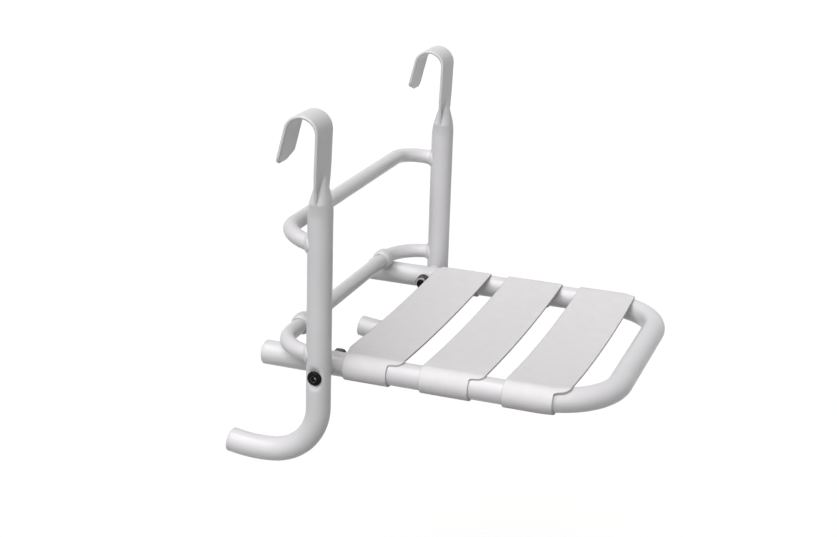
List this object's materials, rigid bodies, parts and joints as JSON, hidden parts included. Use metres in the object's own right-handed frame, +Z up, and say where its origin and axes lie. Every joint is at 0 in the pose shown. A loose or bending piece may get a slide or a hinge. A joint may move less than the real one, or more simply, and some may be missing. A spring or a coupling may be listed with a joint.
{
  "type": "hanging shower seat",
  "caption": "Folding shower seat that hangs from a grab rail by flattened hooks, with a strap seat on a bent tube frame and curved feet that lean on the wall.",
  "frame": {"origin": "on the axis of the grab rail that the hooks hang on, midway between the two hooks", "axes": "+X along the grab rail, towards the right-hand hook of someone who faces the seat; +Y towards the wall behind the rail; +Z up. The seat reaches out along -Y."},
  "size_m": [0.4416, 0.4417, 0.413],
  "materials": {
    "white_coating": "semi-gloss powder coating over steel tube",
    "white_plastic": "satin moulded plastic",
    "strap_web": "close-woven synthetic webbing with a fine matt grain",
    "black_steel": "black satin plated fastener",
    "plain_steel": "plain turned steel"
  },
  "bodies": {
    "hanger": {"left_upright": "white_coating", "right_upright": "white_coating", "left_hook": "white_coating", "right_hook": "white_coating", "upper_bar": "white_coating", "lower_bar": "white_coating", "left_bar_sleeve": "white_plastic", "right_bar_sleeve": "white_plastic", "left_foot_plug": "white_plastic", "right_foot_plug": "white_plastic", "left_pivot_bolt": "black_steel", "right_pivot_bolt": "black_steel", "left_spacer": "white_plastic", "right_spacer": "white_plastic", "left_washer": "plain_steel", "right_washer": "plain_steel", "left_nut": "black_steel", "right_nut": "black_steel"},
    "seat": {"seat_frame": "white_coating", "rear_strap": "strap_web", "middle_strap": "strap_web", "front_strap": "strap_web", "left_outer_bush": "white_plastic", "right_outer_bush": "white_plastic", "left_inner_bush": "white_plastic", "right_inner_bush": "white_plastic", "left_seat_plug": "white_plastic", "right_seat_plug": "white_plastic"}
  },
  "joints": [
    {"name": "seat_fold", "type": "hinge", "parent": "hanger", "child": "seat", "pos_m": [0, -0.0151, -0.2768], "axis": [-1, 0, 0], "range_deg": [0, 98]}
  ]
}
